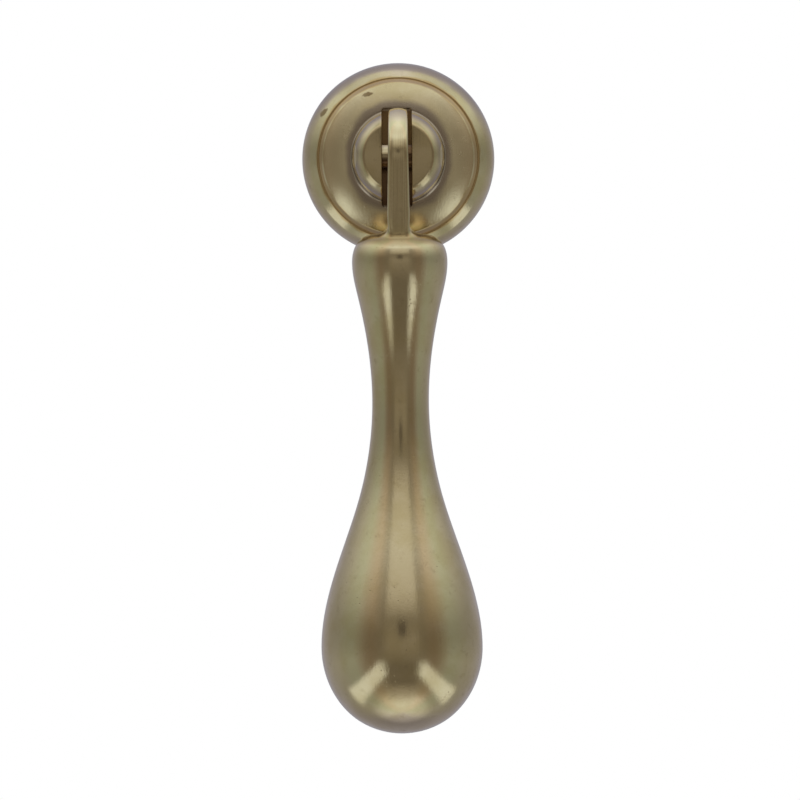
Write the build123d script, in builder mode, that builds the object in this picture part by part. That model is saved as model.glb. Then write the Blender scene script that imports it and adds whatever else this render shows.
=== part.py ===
"""Brass drop handle for a cabinet: a turned rose with a slotted boss, a cross pin, and a pear-shaped drop.

Frame: millimetres, +Z up. The origin is the centre of the rose's back face, which lies on the drawer front.
The drawer front is the plane Y = 0, and the handle stands out of it towards -Y.
A depth below is a distance out of the drawer front, and a fall is a distance below the hinge line.
"""

import os

from build123d import *

# Rose: a disc in two rounded steps, with a boss at its centre
rose_radius = 12.0  # the widest point, just above the back edge
rose_back_round = 0.3
rim_edge_depth = 0.45  # the edge stands straight to here
rim_curve_radius = 5.2  # the rim's side curves in from the widest point
rim_neck_radius = 11.0  # and runs straight from here
rim_neck_depth = 3.45
rim_top_radius = 10.1
rim_crest_round = 0.3
ledge_depth = 4.4  # the narrow flat ledge between the rim and the dome
dome_foot_radius = 9.9
dome_edge_radius = 9.4
dome_edge_depth = 5.2
dome_edge_round = 0.3
dome_curve_radius = 11.8
dome_depth = 6.2  # the top of the dome, where the boss stands

# Boss: a round post with a sloping shoulder and a slightly crowned face
boss_foot_radius = 5.75
boss_foot_round = 0.4
boss_radius = 5.65  # at the hinge line
boss_face_radius = 4.38
boss_face_depth = 12.7  # at the edge of the face
boss_shoulder_curve = 4.5
boss_edge_round = 0.85
boss_crown_depth = 12.95  # at the centre of the face
boss_crown_slope = 0.12  # at the edge of the face

# Hinge line, across the boss
hinge_depth = 10.2
pin_radius = 1.5
pin_running_gap = 0.05  # radial gap in the eye of the drop

# Slot down the boss, which runs a little way into the dome
slot_width = 3.68
slot_shift = -0.18  # the slot is cut this far to the left of the boss's middle
slot_gap = 0.12  # between the eye and the slot's ends and floor
slot_run_out = 1.0  # how far the slot is cut past the face

# Screw hole in the back, for a machine screw from inside the drawer, at the outside radius of its thread
screw_hole_radius = 2.0
screw_hole_depth = 3.5
screw_hole_lead_in = 0.3

# Tang: the flat tongue of the drop, with a round eye
tang_thickness = 2.6
tang_shift = -0.02  # the middle of its thickness
eye_radius = 5.95
tang_front_half_depth = 4.3  # in front of the hinge line, where the tongue meets the head
tang_back_half_depth = 3.7  # behind it, where the tongue hangs clear of the dome
tang_foot_round = 1.5
tang_edge_round = 0.5

# Drop, turned below the tang: (radius, fall) of each point that shapes it
drop_shift = 0.1  # its axis is this far to the right of the rose's
head_top = (3.0, 9.6)
shoulder = (5.66, 11.5)
head = (5.89, 13.35)
upper_body = [(5.22, 17.25), (4.38, 21.2)]
waist = (3.5, 30.2)
lower_body = [(5.11, 41.9), (8.06, 50.8)]
bulb = (9.95, 60.6)
bulb_base = [(8.82, 65.6), (5.38, 69.65)]
drop_fall = 71.25  # the bottom of the drop

slot_end = eye_radius + slot_gap
slot_floor_depth = hinge_depth - slot_end
section_plane = Plane(origin=(0, 0, 0), x_dir=(1, 0, 0), z_dir=(0, 0, -1))  # local axes: radius, depth
hinge_centre = (0, -hinge_depth, 0)
drop_axis_origin = (drop_shift, -hinge_depth, 0)
unit_speed = (1, 1)  # a spline's end tangents, in step with the lengths between its points


def below(point):
    """A (radius, fall) point in the drop's section, whose local axes are radius and height."""
    radius, fall = point
    return (radius, -fall)


os.makedirs("parts", exist_ok=True)

# Rose, turned about Y
with BuildPart() as rose:
    with BuildSketch(section_plane) as rose_section:
        with BuildLine():
            back = Line((0, 0), (rose_radius, 0))
            edge = Line(back @ 1, (rose_radius, rim_edge_depth))
            rim_side = RadiusArc(edge @ 1, (rim_neck_radius, rim_neck_depth), -rim_curve_radius)
            rim_neck = Line(rim_side @ 1, (rim_top_radius, ledge_depth))
            ledge = Line(rim_neck @ 1, (dome_foot_radius, ledge_depth))
            dome_side = Line(ledge @ 1, (dome_edge_radius, dome_edge_depth))
            dome = RadiusArc(dome_side @ 1, (boss_foot_radius, dome_depth), -dome_curve_radius)
            boss_side = Line(dome @ 1, (boss_radius, hinge_depth))
            boss_shoulder = RadiusArc(boss_side @ 1, (boss_face_radius, boss_face_depth), -boss_shoulder_curve)
            Spline(boss_shoulder @ 1, (0, boss_crown_depth), tangents=((-1, boss_crown_slope), (-1, 0)))
            Line((0, boss_crown_depth), back @ 0)
        make_face()
        rounded_corners = (
            (rose_radius, 0, rose_back_round),
            (rim_top_radius, ledge_depth, rim_crest_round),
            (dome_edge_radius, dome_edge_depth, dome_edge_round),
            (boss_foot_radius, dome_depth, boss_foot_round),
            (boss_face_radius, boss_face_depth, boss_edge_round),
        )
        for radius, depth, size in rounded_corners:
            fillet(rose_section.vertices().sort_by_distance((radius, depth))[0], size)
    revolve(axis=Axis.Y)
    rose_blank = rose.part

    # The slot is open at the face and stops at its floor
    slot_depth = boss_crown_depth - slot_floor_depth + slot_run_out
    with Locations((slot_shift, -slot_floor_depth - slot_depth / 2, 0)):
        Box(slot_width, slot_depth, 2 * slot_end, mode=Mode.SUBTRACT)

    # Cross hole for the pin
    with Locations(hinge_centre):
        Cylinder(pin_radius, 2 * rose_radius, rotation=(0, 90, 0), mode=Mode.SUBTRACT)

    # Screw hole in the back
    with Locations((0, -screw_hole_depth / 2, 0)):
        Cylinder(screw_hole_radius, screw_hole_depth, rotation=(90, 0, 0), mode=Mode.SUBTRACT)
    mouth = rose.edges().filter_by(GeomType.CIRCLE).sort_by_distance((screw_hole_radius, 0, 0))[0]
    chamfer(mouth, screw_hole_lead_in)
rose.part.label = "rose"

# Hinge pin, with its ends dressed flush to the round side of the boss
with BuildPart() as hinge_pin:
    with Locations(hinge_centre):
        Cylinder(pin_radius, 2 * rose_radius, rotation=(0, 90, 0))
    add(rose_blank, mode=Mode.INTERSECT)
hinge_pin.part.label = "hinge_pin"

# Drop: the tongue first, with its edges eased, then the turned body under it
with BuildPart() as drop:
    with BuildSketch(Plane.YZ.offset(tang_shift - tang_thickness / 2)):
        with Locations((-hinge_depth, 0)):
            Circle(eye_radius)
        with Locations((-hinge_depth, -shoulder[1])):
            Rectangle(2 * tang_front_half_depth, 2 * (shoulder[1] - head_top[1]))
        make_hull()
        # Behind the hinge line the tongue is cut back straight, below the round eye
        with Locations((tang_back_half_depth - hinge_depth, 0)):
            Rectangle(eye_radius, drop_fall, align=(Align.MIN, Align.MAX), mode=Mode.SUBTRACT)
        with Locations((-hinge_depth, 0)):
            Circle(eye_radius)
    extrude(amount=tang_thickness)
    outline = drop.edges().filter_by(lambda e: e.bounding_box().size.X < 1e-6)
    fillet(outline, tang_edge_round)
    with Locations((tang_shift, -hinge_depth, 0)):
        Cylinder(pin_radius + pin_running_gap, slot_width, rotation=(0, 90, 0), mode=Mode.SUBTRACT)

    with BuildSketch(Plane(origin=drop_axis_origin, x_dir=(1, 0, 0), z_dir=(0, -1, 0))):
        with BuildLine():
            top = Line((0, -head_top[1]), below(head_top))
            turn = TangentArc(top @ 1, below(shoulder), tangent=(1, 0))
            upper = Spline(
                turn @ 1,
                below(head),
                *[below(point) for point in upper_body],
                below(waist),
                *[below(point) for point in lower_body],
                below(bulb),
                tangents=(turn % 1, (0, -1)),
                tangent_scalars=unit_speed,
            )
            lower = Spline(
                upper @ 1,
                *[below(point) for point in bulb_base],
                (0, -drop_fall),
                tangents=((0, -1), (-1, 0)),
                tangent_scalars=unit_speed,
            )
            Line(lower @ 1, top @ 0)
        make_face()
    revolve(axis=Axis(drop_axis_origin, (0, 0, 1)))
    foot = drop.edges(Select.NEW).filter_by(lambda e: e.bounding_box().size.X < head_top[0])
    fillet(foot, tang_foot_round)
drop.part.label = "drop"

export_step(rose.part, "parts/rose.step")
export_step(hinge_pin.part, "parts/hinge_pin.step")
export_step(drop.part, "parts/drop.step")
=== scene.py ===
"""Brass drop handle for a cabinet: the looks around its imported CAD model.

The sizes below are in millimetres and the meshes in metres, in the CAD model's frame: +Z up, the drawer
front is the plane Y = 0, and the handle stands out of it towards -Y. A depth is a distance out of the drawer
front, and a fall is a distance below the hinge line.
"""

import math

import bmesh
import bpy
import numpy as np
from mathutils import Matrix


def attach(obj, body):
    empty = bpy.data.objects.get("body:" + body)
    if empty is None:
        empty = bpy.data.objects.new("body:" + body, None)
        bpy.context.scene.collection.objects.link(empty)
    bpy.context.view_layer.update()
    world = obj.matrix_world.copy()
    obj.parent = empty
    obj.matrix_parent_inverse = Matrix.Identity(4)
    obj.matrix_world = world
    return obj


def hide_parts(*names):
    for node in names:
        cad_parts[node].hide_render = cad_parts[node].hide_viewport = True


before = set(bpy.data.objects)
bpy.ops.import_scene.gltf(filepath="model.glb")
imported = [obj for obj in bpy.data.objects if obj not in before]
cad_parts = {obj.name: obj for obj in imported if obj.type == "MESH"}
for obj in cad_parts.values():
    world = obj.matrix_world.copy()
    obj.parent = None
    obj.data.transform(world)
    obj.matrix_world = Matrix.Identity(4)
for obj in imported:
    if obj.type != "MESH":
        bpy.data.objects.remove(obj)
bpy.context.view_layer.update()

bl_info = {
    "name": "Brass Drop Handle",
    "version": (1, 0, 0),
    "blender": (4, 5, 0),
    "location": "3D View > Sidebar > Handle",
    "description": "Makes a turned brass drop handle, its finish and its stage",
    "category": "Add Mesh",
}

MM = 0.001
MERGE_DISTANCE = 1e-7

# The hinge line's depth, and how far the slot is left and the drop's axis right of the rose's middle
HINGE_DEPTH = 10.2
SLOT_SHIFT = 0.18
DROP_AXIS = 0.1

# Falls on the drop: where the eye's grids meet the closed rings, where the tongue's shift to the left and its
# taper fade out, where the taper starts, and where the bulb is widest
EYE_JOIN = 7.0
SHIFT_FADE = (8.0, 11.5)
TAPER_FADE = (7.0, 9.5)
TAPER_START = 2.0
BULB_FALL = 60.6

# Points of the drop's outline, as (radius, height above the hinge line), and how many the head's flat has
HEAD_SHOULDER = (5.66, -11.5)
NECK_KNOTS = ((5.89, -13.35), (5.22, -17.25), (4.38, -21.2), (3.5, -30.2), (5.11, -41.9), (8.06, -50.8))
TIP_KNOTS = ((8.82, -65.6), (5.38, -69.65))
FLAT_POINTS = 60

# Radii of the arcs and rounds in the rose's outline, and its screw hole
SHOULDER_ARC = 4.5
DOME_ARC = 11.8
RIM_ARC = 5.2
FACE_ROUND = 0.85
FOOT_ROUND = 0.4
EDGE_ROUND = 0.3
SCREW_RADIUS = 2.0
SCREW_CHAMFER = 0.3

# The slot's corners, how far its floor's middle line stays from its ends, and the cross hole's cutter
POCKET_CORNER = 0.3
FLOOR_INSET = 0.25
CUTTER_RADIUS = 1.5
CUTTER_REACH = 7.0

# How far past the dome's foot its full rings start, and how many rows each part of the outline has
RING_START = 0.85
RING_COUNTS = (18, 8, 5, 5, 9, 5, 18, 3, 8, 6, 3)
CHEEK_COUNTS = (10, 16, 12, 10)

# The thread: what is left free of it at the hole's bottom, the length over which it fades in and out, and
# the shares of half a pitch that its groove's bottom and its flank take
THREAD_RELIEF = 0.15
THREAD_FADE = 0.3
THREAD_GROOVE = 0.2
THREAD_FLANK = 0.55


# Outlines


def unit(vectors):
    """Each vector divided by its own length."""
    return vectors / np.linalg.norm(vectors, axis=-1, keepdims=True)


def eased(count):
    """Numbers from 0 to 1 that crowd towards both ends: half of one less the cosine of a share of pi."""
    return 0.5 - 0.5 * np.cos(np.pi * np.linspace(0, 1, count))


def smooth(share):
    """A share that leaves 0 and reaches 1 gently: three times its square less twice its cube."""
    share = np.clip(share, 0, 1)
    return share**2 * (3 - 2 * share)


def turn_between(first, second, share):
    """Unit vectors on the great circle from the first to the second, at a share of the angle between."""
    angle = np.arccos(np.clip(np.sum(first * second, axis=-1, keepdims=True), -1, 1))
    angle = np.maximum(angle, 1e-9)
    return (np.sin((1 - share) * angle) * first + np.sin(share * angle) * second) / np.sin(angle)


def line_points(start, end, count=400):
    """Points on the straight line: the start plus a share of the way to the end."""
    share = np.linspace(0, 1, count)[:, None]
    return np.array(start) * (1 - share) + np.array(end) * share


def bulged_points(start, end, radius, count=400):
    """Points on an arc of this radius from start to end, whose centre is on the right of the way there.

    The centre is half way along the chord, moved square to it by the root of radius squared less half the
    chord squared. Each point is the centre plus the radius turned by its share of the angle.
    """
    start = np.array(start, dtype=float)
    end = np.array(end, dtype=float)
    chord = end - start
    half = np.linalg.norm(chord) / 2
    right = np.array((chord[1], -chord[0])) / (2 * half)
    centre = (start + end) / 2 + right * math.sqrt(radius**2 - half**2)
    share = np.linspace(0, 1, count)[:, None]
    return centre + radius * turn_between(unit(start - centre)[None], unit(end - centre)[None], share)


def outward(points):
    """Unit normals of an outline, square to its way and on its left."""
    way = np.gradient(points, axis=0)
    return unit(np.stack((-way[:, 1], way[:, 0]), axis=1))


def rounded(before, after, radius):
    """Rounds the corner where two dense outlines meet, with a ball of this radius, negative if it is inside.

    The ball touches both where their copies, moved in by its radius, cross. Its arc is the centre plus
    the radius times a normal that turns from the first outline's to the second's.
    """
    first = before - radius * outward(before)
    second = after - radius * outward(after)
    gap = np.linalg.norm(first[:, None] - second[None], axis=-1)
    row, column = np.unravel_index(np.argmin(gap), gap.shape)
    share = np.linspace(0, 1, 60)[:, None]
    normal = turn_between(outward(before)[row][None], outward(after)[column][None], share)
    arc = (first[row] + second[column]) / 2 + radius * normal
    arc[0] = before[row]
    arc[-1] = after[column]
    return before[: row + 1], arc, after[column:]


def length_along(points):
    """How far along its outline each point is: the running sum of the distances between them."""
    return np.concatenate(((0,), np.cumsum(np.linalg.norm(np.diff(points, axis=0), axis=1))))


def sampled(points, places):
    """Points at shares of an outline's length, read off straight between its dense points."""
    length = length_along(points)
    wanted = places * length[-1]
    return np.stack([np.interp(wanted, length, points[:, axis]) for axis in range(points.shape[1])], axis=-1)


def clamped_spline(knots, first_way, last_way, count=400):
    """A curve through the knots with bending that never jumps, and a set unit way at each end.

    Between two knots a chord apart it is a cubic of the chord's length. The ways at the inner knots solve
    the linear equations that make its second derivative the same on both sides of each knot.
    """
    knots = np.array(knots, dtype=float)
    chord = np.linalg.norm(np.diff(knots, axis=0), axis=1)
    total = len(knots)
    matrix = np.eye(total)
    target = np.zeros((total, 2))
    target[0] = first_way
    target[-1] = last_way
    inner = np.arange(1, total - 1)
    left = chord[:-1]
    right = chord[1:]
    matrix[inner, inner - 1] = right
    matrix[inner, inner] = 2 * (left + right)
    matrix[inner, inner + 1] = left
    step = np.diff(knots, axis=0)
    target[1:-1] = 3 * (step[:-1] * (right / left)[:, None] + step[1:] * (left / right)[:, None])
    slope = np.linalg.solve(matrix, target)
    place = length_along(knots)
    wanted = np.linspace(0, place[-1], count)
    part = np.clip(np.searchsorted(place, wanted, side="right") - 1, 0, total - 2)
    share = ((wanted - place[part]) / chord[part])[:, None]
    width = chord[part][:, None]
    return (
        (2 * share**3 - 3 * share**2 + 1) * knots[part]
        + (share**3 - 2 * share**2 + share) * width * slope[part]
        + (3 * share**2 - 2 * share**3) * knots[part + 1]
        + (share**3 - share**2) * width * slope[part + 1]
    )


# Meshes


def grid_faces(rows, columns, closed):
    """Corner numbers of the quads between neighbouring rows and columns of a grid of points."""
    corner = np.arange(rows * columns).reshape(rows, columns)
    if closed:
        corner = np.concatenate((corner, corner[:, :1]), axis=1)
    quads = (corner[:-1, :-1], corner[1:, :-1], corner[1:, 1:], corner[:-1, 1:])
    return np.stack(quads, axis=-1).reshape(-1, 4)


def mesh_from_grids(name, grids):
    """One closed mesh from grids of points in millimetres, with merged edges and outward faces."""
    points = []
    faces = []
    start = 0
    for grid, closed in grids:
        rows, columns = grid.shape[:2]
        points.append(grid.reshape(-1, 3))
        faces.append(grid_faces(rows, columns, closed) + start)
        start += rows * columns
    mesh = bpy.data.meshes.new(name)
    mesh.from_pydata((np.concatenate(points) * MM).tolist(), [], np.concatenate(faces).tolist())
    shape = bmesh.new()
    shape.from_mesh(mesh)
    bmesh.ops.remove_doubles(shape, verts=shape.verts, dist=MERGE_DISTANCE)
    bmesh.ops.dissolve_degenerate(shape, dist=MERGE_DISTANCE, edges=shape.edges)
    bmesh.ops.recalc_face_normals(shape, faces=shape.faces)
    open_edges = sum(1 for edge in shape.edges if not edge.is_manifold)
    shape.to_mesh(mesh)
    shape.free()
    if open_edges:
        raise RuntimeError(f"{name} has {open_edges} edges that don't join two faces")
    return mesh


def shade(mesh, angle=math.radians(35)):
    """Smooth shading, apart from edges that turn by more than the angle."""
    mesh.shade_smooth()
    mesh.set_sharp_from_angle(angle=angle)


def add_piece(mesh, material, body, node):
    """Shows the mesh in place of its CAD node, with its finish, moving with its body."""
    piece = bpy.data.objects.new(mesh.name, mesh)
    bpy.context.scene.collection.objects.link(piece)
    mesh.materials.append(material)
    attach(piece, body)
    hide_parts(node)


# Drop


def tongue_outline(sizes, fall, inset, front):
    """Half-depth of the tongue's side outline at a fall, moved in by the inset.

    Beside the hinge it is the eye's circle: the root of its radius squared less the fall squared. In
    front it then follows the line that touches the circle, and behind it is never less than the tongue's
    straight back.
    """
    radius = sizes.eye_radius - inset
    circle = np.sqrt(np.maximum(radius**2 - fall**2, 0))
    across, down = tongue_front_normal(sizes)
    line = (radius - down * fall) / across
    ahead = np.where(fall > down * radius, line, circle)
    behind = np.where(fall > 0, np.maximum(circle, sizes.tongue_back - inset), circle)
    return np.where(front, ahead, behind)


def tongue_front_normal(sizes):
    """The way, out and down, that the tongue's front faces.

    The front runs from its corner, which is a reach from the hinge, to where it touches the eye's circle.
    The way is the corner's own way from the hinge, turned back by the angle whose cosine is the eye's
    radius over the reach.
    """
    corner = math.atan2(sizes.tongue_corner_fall, sizes.tongue_front)
    reach = math.hypot(sizes.tongue_corner_fall, sizes.tongue_front)
    angle = corner - math.acos(sizes.eye_radius / reach)
    return math.cos(angle), math.sin(angle)


def drop_meridian(sizes):
    """The turned body's outline from the middle of its head to its tip, as (radius, height) points.

    A flat is followed by an arc to the shoulder, then by splines to the bulb's widest place and to the
    tip. The arc's radius is the sum of its squared width and squared height, over twice its height.
    """
    flat = line_points((0.0, -sizes.head_fall), (sizes.head_flat, -sizes.head_fall), FLAT_POINTS)
    across = HEAD_SHOULDER[0] - sizes.head_flat
    drop = -sizes.head_fall - HEAD_SHOULDER[1]
    radius = (across**2 + drop**2) / (2 * drop)
    centre = (sizes.head_flat, -sizes.head_fall - radius)
    angle = np.linspace(math.pi / 2, math.atan2(HEAD_SHOULDER[1] - centre[1], across), 400)
    turn = np.stack((centre[0] + radius * np.cos(angle), centre[1] + radius * np.sin(angle)), axis=1)
    way = (math.sin(angle[-1]), -math.cos(angle[-1]))
    widest = (sizes.bulb_radius, -BULB_FALL)
    upper = clamped_spline((HEAD_SHOULDER, *NECK_KNOTS, widest), way, (0, -1), 4000)
    lower = clamped_spline((widest, *TIP_KNOTS, (0.0, -sizes.drop_fall)), (0, -1), (-1, 0), 2000)
    return np.concatenate((flat, turn[1:], upper[1:], lower[1:])), centre, radius


def drop_grids(sizes):
    """The drop as grids: the rim and sides of its round eye, then closed rings down to its tip.

    Across the rim runs a shallow crown, which an edge round joins to each side. A point of the crown is
    its radius times the sine of its lean across, and moved in by its radius less its radius times the
    cosine. A point of the edge round is the same from the round's own centre.
    """
    half = sizes.tongue_thickness / 2
    edge = sizes.tongue_edge
    crown = sizes.tongue_crown
    lean = math.asin((half - edge) / (crown - edge))
    turn = np.linspace(0, math.pi / 2 - lean, 6)
    bulge = np.linspace(lean, -lean, 9)[1:-1]
    across = np.concatenate((half - edge + edge * np.cos(turn), crown * np.sin(bulge)))
    across = np.concatenate((across, edge - half - edge * np.cos(turn[::-1])))
    slant = np.concatenate((turn, math.pi / 2 - np.abs(bulge), turn[::-1]))
    edge_inset = (crown - edge) * (1 - math.cos(lean)) + edge - edge * np.sin(turn)
    inset = np.concatenate((edge_inset, crown - crown * np.cos(bulge), edge_inset[::-1]))
    normal_down = tongue_front_normal(sizes)[1]
    radius = sizes.eye_radius - inset

    # Round the eye from its back, over the top, to its front
    kink = np.sqrt(radius**2 - (sizes.tongue_back - inset) ** 2)
    back_fall = EYE_JOIN + (kink - EYE_JOIN) * np.linspace(0, 1, 5)[:-1, None]
    back_rows = np.stack((np.broadcast_to(inset - sizes.tongue_back, back_fall.shape), back_fall), axis=-1)
    first = np.arctan2(kink, inset - sizes.tongue_back)
    first = np.where(first > 0, first, first + 2 * math.pi)
    last = math.asin(normal_down)
    share = np.linspace(0, 1, 125)[:, None]
    # The angle runs from behind and below, up over the top and down to the front's touching point
    angle = first + (last + 2 * math.pi - first) * share
    arc_rows = np.stack((radius * np.cos(angle), radius * np.sin(angle)), axis=-1)
    touch = radius * normal_down
    front_fall = touch + (EYE_JOIN - touch) * np.linspace(0, 1, 6)[1:, None]
    front_rows = np.stack((tongue_outline(sizes, front_fall, inset, True), front_fall), axis=-1)
    outline = np.concatenate((back_rows, arc_rows, front_rows))
    rim = placed(outline[..., 0], np.broadcast_to(across, outline.shape[:2]), outline[..., 1])

    # The flat sides and the hole, as rings about the hinge
    side_count = 132
    side_depth = line_points((outline[-1, 0, 0],), (outline[0, 0, 0],), side_count)[1:-1, 0]
    ring_depth = np.concatenate((outline[:, 0, 0], side_depth))
    ring_fall = np.concatenate((outline[:, 0, 1], np.full(side_depth.size, EYE_JOIN)))
    bearing = np.arctan2(ring_fall, ring_depth)
    hole = sizes.eye_hole_radius
    lip = 0.1
    mouth = np.linspace(0, math.pi / 2, 4)
    hole_radius = hole + lip - lip * np.sin(mouth)
    hole_across = half - lip + lip * np.cos(mouth)
    share = np.array((0, 0.3, 0.6, 0.85))[:, None]
    side_a = ring_depth * (1 - share) + (hole + lip) * np.cos(bearing) * share
    side_b = ring_fall * (1 - share) + (hole + lip) * np.sin(bearing) * share
    hole_a = hole_radius[:, None] * np.cos(bearing)
    hole_b = hole_radius[:, None] * np.sin(bearing)
    near_a = np.concatenate((side_a, hole_a))
    near_b = np.concatenate((side_b, hole_b))
    near_x = np.concatenate((np.full(4, half), hole_across))
    near_x = np.broadcast_to(near_x[:, None], near_a.shape)
    sides = placed(
        np.concatenate((near_a, near_a[::-1])),
        np.concatenate((near_x, -near_x[::-1])),
        np.concatenate((near_b, near_b[::-1])),
    )

    # Rings below the eye: front rim, one side, back rim, other side
    side = np.linspace(0, 1, side_count)[1:-1]
    front = np.concatenate((np.ones(across.size, bool), side < 0.5, np.zeros(across.size, bool), side > 0.5))
    ring_x = np.concatenate((across, np.full(side.size, -half), across[::-1], np.full(side.size, half)))
    ring_slant = np.concatenate((slant, np.zeros(side.size), slant, np.zeros(side.size)))
    flat_inset = np.full(side.size, inset[0])
    ring_inset = np.concatenate((inset, flat_inset, inset[::-1], flat_inset))
    blend = np.concatenate((np.zeros(across.size), side, np.ones(across.size), 1 - side))

    def ring_depth_at(fall):
        """Depth in front of the hinge: a share of the way from the front outline to the back one."""
        ahead = tongue_outline(sizes, fall, ring_inset, True)
        behind = -tongue_outline(sizes, fall, ring_inset, False)
        return ahead * (1 - blend) + behind * blend

    slope_across, slope_down = tongue_front_normal(sizes)
    rim_part = np.concatenate(
        (np.ones(across.size), np.zeros(side.size), -np.ones(across.size), np.zeros(side.size))
    )
    out_depth = np.sin(ring_slant) * rim_part * np.where(front, slope_across, 1)
    out_fall = np.sin(ring_slant) * np.where(front & (rim_part > 0), slope_down, 0)
    out_x = np.cos(ring_slant) * np.sign(ring_x)
    out = np.stack((out_x, out_depth, -out_fall), axis=-1)

    # The ball that rolls round the tongue's foot, touching the tongue and the head
    ball = sizes.tongue_foot
    meridian, head_centre, head_turn = drop_meridian(sizes)
    first_guess = 8.0
    fall = np.full(ring_x.size, first_guess)
    for _ in range(12):
        touch_point = np.stack((ring_x, ring_depth_at(fall), -fall), axis=-1)
        centre = touch_point + ball * out
        reach = np.hypot(centre[:, 0], centre[:, 1])
        over = np.maximum(reach - sizes.head_flat, 0)
        height = head_centre[1] + np.sqrt((head_turn + ball) ** 2 - over**2)
        fall = -(height - ball * out[:, 2])
    to_head = unit(np.stack((-over, head_centre[1] - height), axis=-1))
    landing = np.stack((reach + ball * to_head[:, 0], height + ball * to_head[:, 1]), axis=-1)
    level = centre[:, :2] / reach[:, None]
    down = np.concatenate((level * to_head[:, :1], to_head[:, 1:]), axis=-1)
    share = np.linspace(0, 1, 5)[:-1, None]
    straight_fall = EYE_JOIN + (fall - EYE_JOIN) * share
    straight_x = np.broadcast_to(ring_x, straight_fall.shape)
    straight = placed(ring_depth_at(straight_fall), straight_x, straight_fall)
    share = np.linspace(0, 1, 14)[:, None, None]
    cove = centre + ball * turn_between(-out, down, share)
    cove = placed(cove[..., 1], cove[..., 0], -cove[..., 2])

    # Rings on the turned body, from where the ball touches the head
    length = length_along(meridian)
    past = np.arctan2(landing[:, 0] - head_centre[0], landing[:, 1] - head_centre[1])
    on_arc = sizes.head_flat + head_turn * np.maximum(past, 0)
    start = np.where(landing[:, 0] <= sizes.head_flat, landing[:, 0], on_arc)
    end = length[-1]
    widest = np.interp(-NECK_KNOTS[0][1], -meridian[FLAT_POINTS:, 1], length[FLAT_POINTS:])
    ease = np.linspace(0, 1, 15)[1:, None]
    near = start * (1 - ease) + widest * ease
    far = widest + (end - widest) * np.linspace(0, 1, 136)[1:, None]
    place = np.concatenate((near, np.broadcast_to(far, (far.size, start.size))))
    ring_radius = np.interp(place, length, meridian[:, 0])
    ring_height = np.interp(place, length, meridian[:, 1])
    bearing = np.unwrap(np.arctan2(level[:, 0], level[:, 1]))
    whole_turn = 2 * math.pi * np.sign(bearing[-1] - bearing[0])
    even = bearing[0] + np.linspace(0, whole_turn, bearing.size + 1)[:-1]
    even += np.mean(bearing - even)
    # The rings' points spread out evenly over the first 26 of them
    evened = smooth(np.arange(1, place.shape[0] + 1) / 26)[:, None]
    angle = bearing * (1 - evened) + even * evened
    body = placed(ring_radius * np.cos(angle), ring_radius * np.sin(angle), -ring_height)
    grids = (rim, False), (sides, True), (np.concatenate((straight, cove, body)), True)
    return tuple((set_tongue(sizes, grid), closed) for grid, closed in grids)


def set_tongue(sizes, points):
    """Points of the drop with the tongue moved to the left and tapered.

    A point moves left by the shift times a share that falls smoothly from 1 to 0 over the top of the
    head. Its distance from the axis grows by the taper, times its fall past the taper's start, times such
    a share.
    """
    x, y, z = np.moveaxis(points, -1, 0)
    fall = -z
    moved = 1 - smooth((fall - SHIFT_FADE[0]) / (SHIFT_FADE[1] - SHIFT_FADE[0]))
    tapered = 1 - smooth((fall - TAPER_FADE[0]) / (TAPER_FADE[1] - TAPER_FADE[0]))
    from_axis = (x - DROP_AXIS) * (1 + sizes.tongue_taper * (fall - TAPER_START) * tapered)
    return np.stack((DROP_AXIS + from_axis - sizes.tongue_shift * moved, y, z), axis=-1)


def placed(ahead, across, fall):
    """Points of the drop, from how far they are ahead of the hinge, to the right of the axis, and below."""
    x = across + DROP_AXIS
    y = -HINGE_DEPTH - ahead
    return np.stack((x, y, -fall), axis=-1)


# Rose


def rose_outline(sizes):
    """The rose's outline from the middle of its face to its screw hole, in dense parts of (radius, depth).

    The face is crowned: its depth falls from the middle to the edge with the square of the radius.
    """
    face = (sizes.face_radius, sizes.face_depth)
    side = (5.65, HINGE_DEPTH)
    foot = (5.75, 6.2)
    dome = (9.4, 5.2)
    ledge = (9.9, 4.4)
    crest = (10.1, 4.4)
    neck = (11.0, 3.45)
    widest = (sizes.rose_radius, 0.45)
    corner = (sizes.rose_radius, 0.0)
    mouth = (SCREW_RADIUS + SCREW_CHAMFER, 0.0)
    share = np.linspace(0, 1, 400)
    crown_rise = sizes.crown_depth - sizes.face_depth
    crown = np.stack((sizes.face_radius * share, sizes.crown_depth - crown_rise * share**2), axis=1)
    shoulder = bulged_points(face, side, SHOULDER_ARC)
    crown, face_round, shoulder = rounded(crown, shoulder, FACE_ROUND)
    top = bulged_points(foot, dome, DOME_ARC, 800)
    boss, foot_round, top = rounded(line_points(side, foot), top, -FOOT_ROUND)
    top, dome_round, dome_side = rounded(top, line_points(dome, ledge), EDGE_ROUND)
    flat, crest_round, slope = rounded(line_points(ledge, crest), line_points(crest, neck), EDGE_ROUND)
    rim = bulged_points(neck, widest, RIM_ARC)
    back = line_points(corner, mouth, 1200)
    edge, back_round, back = rounded(line_points(widest, corner), back, EDGE_ROUND)
    chamfer = line_points(mouth, (SCREW_RADIUS, SCREW_CHAMFER))
    inner = (crown, face_round, shoulder, boss, foot_round)
    outer = (top, dome_round, dome_side, flat, crest_round, slope, rim, edge, back_round, back, chamfer)
    return inner, outer


def outline_rows(parts, counts):
    """Rows (radius, depth, outward radius, outward depth) read off each part, closest near its ends."""
    rows = []
    for part, count in zip(parts, counts):
        places = eased(count)
        row = np.concatenate((sampled(part, places), unit(sampled(outward(part), places))), axis=1)
        rows.append(row[1:] if rows else row)
    return np.concatenate(rows)


def set_out(x, z, depth):
    """Points of the rose, from their place across and up the drawer front and their depth out of it."""
    return np.stack(np.broadcast_arrays(x, -depth, z), axis=-1)


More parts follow.
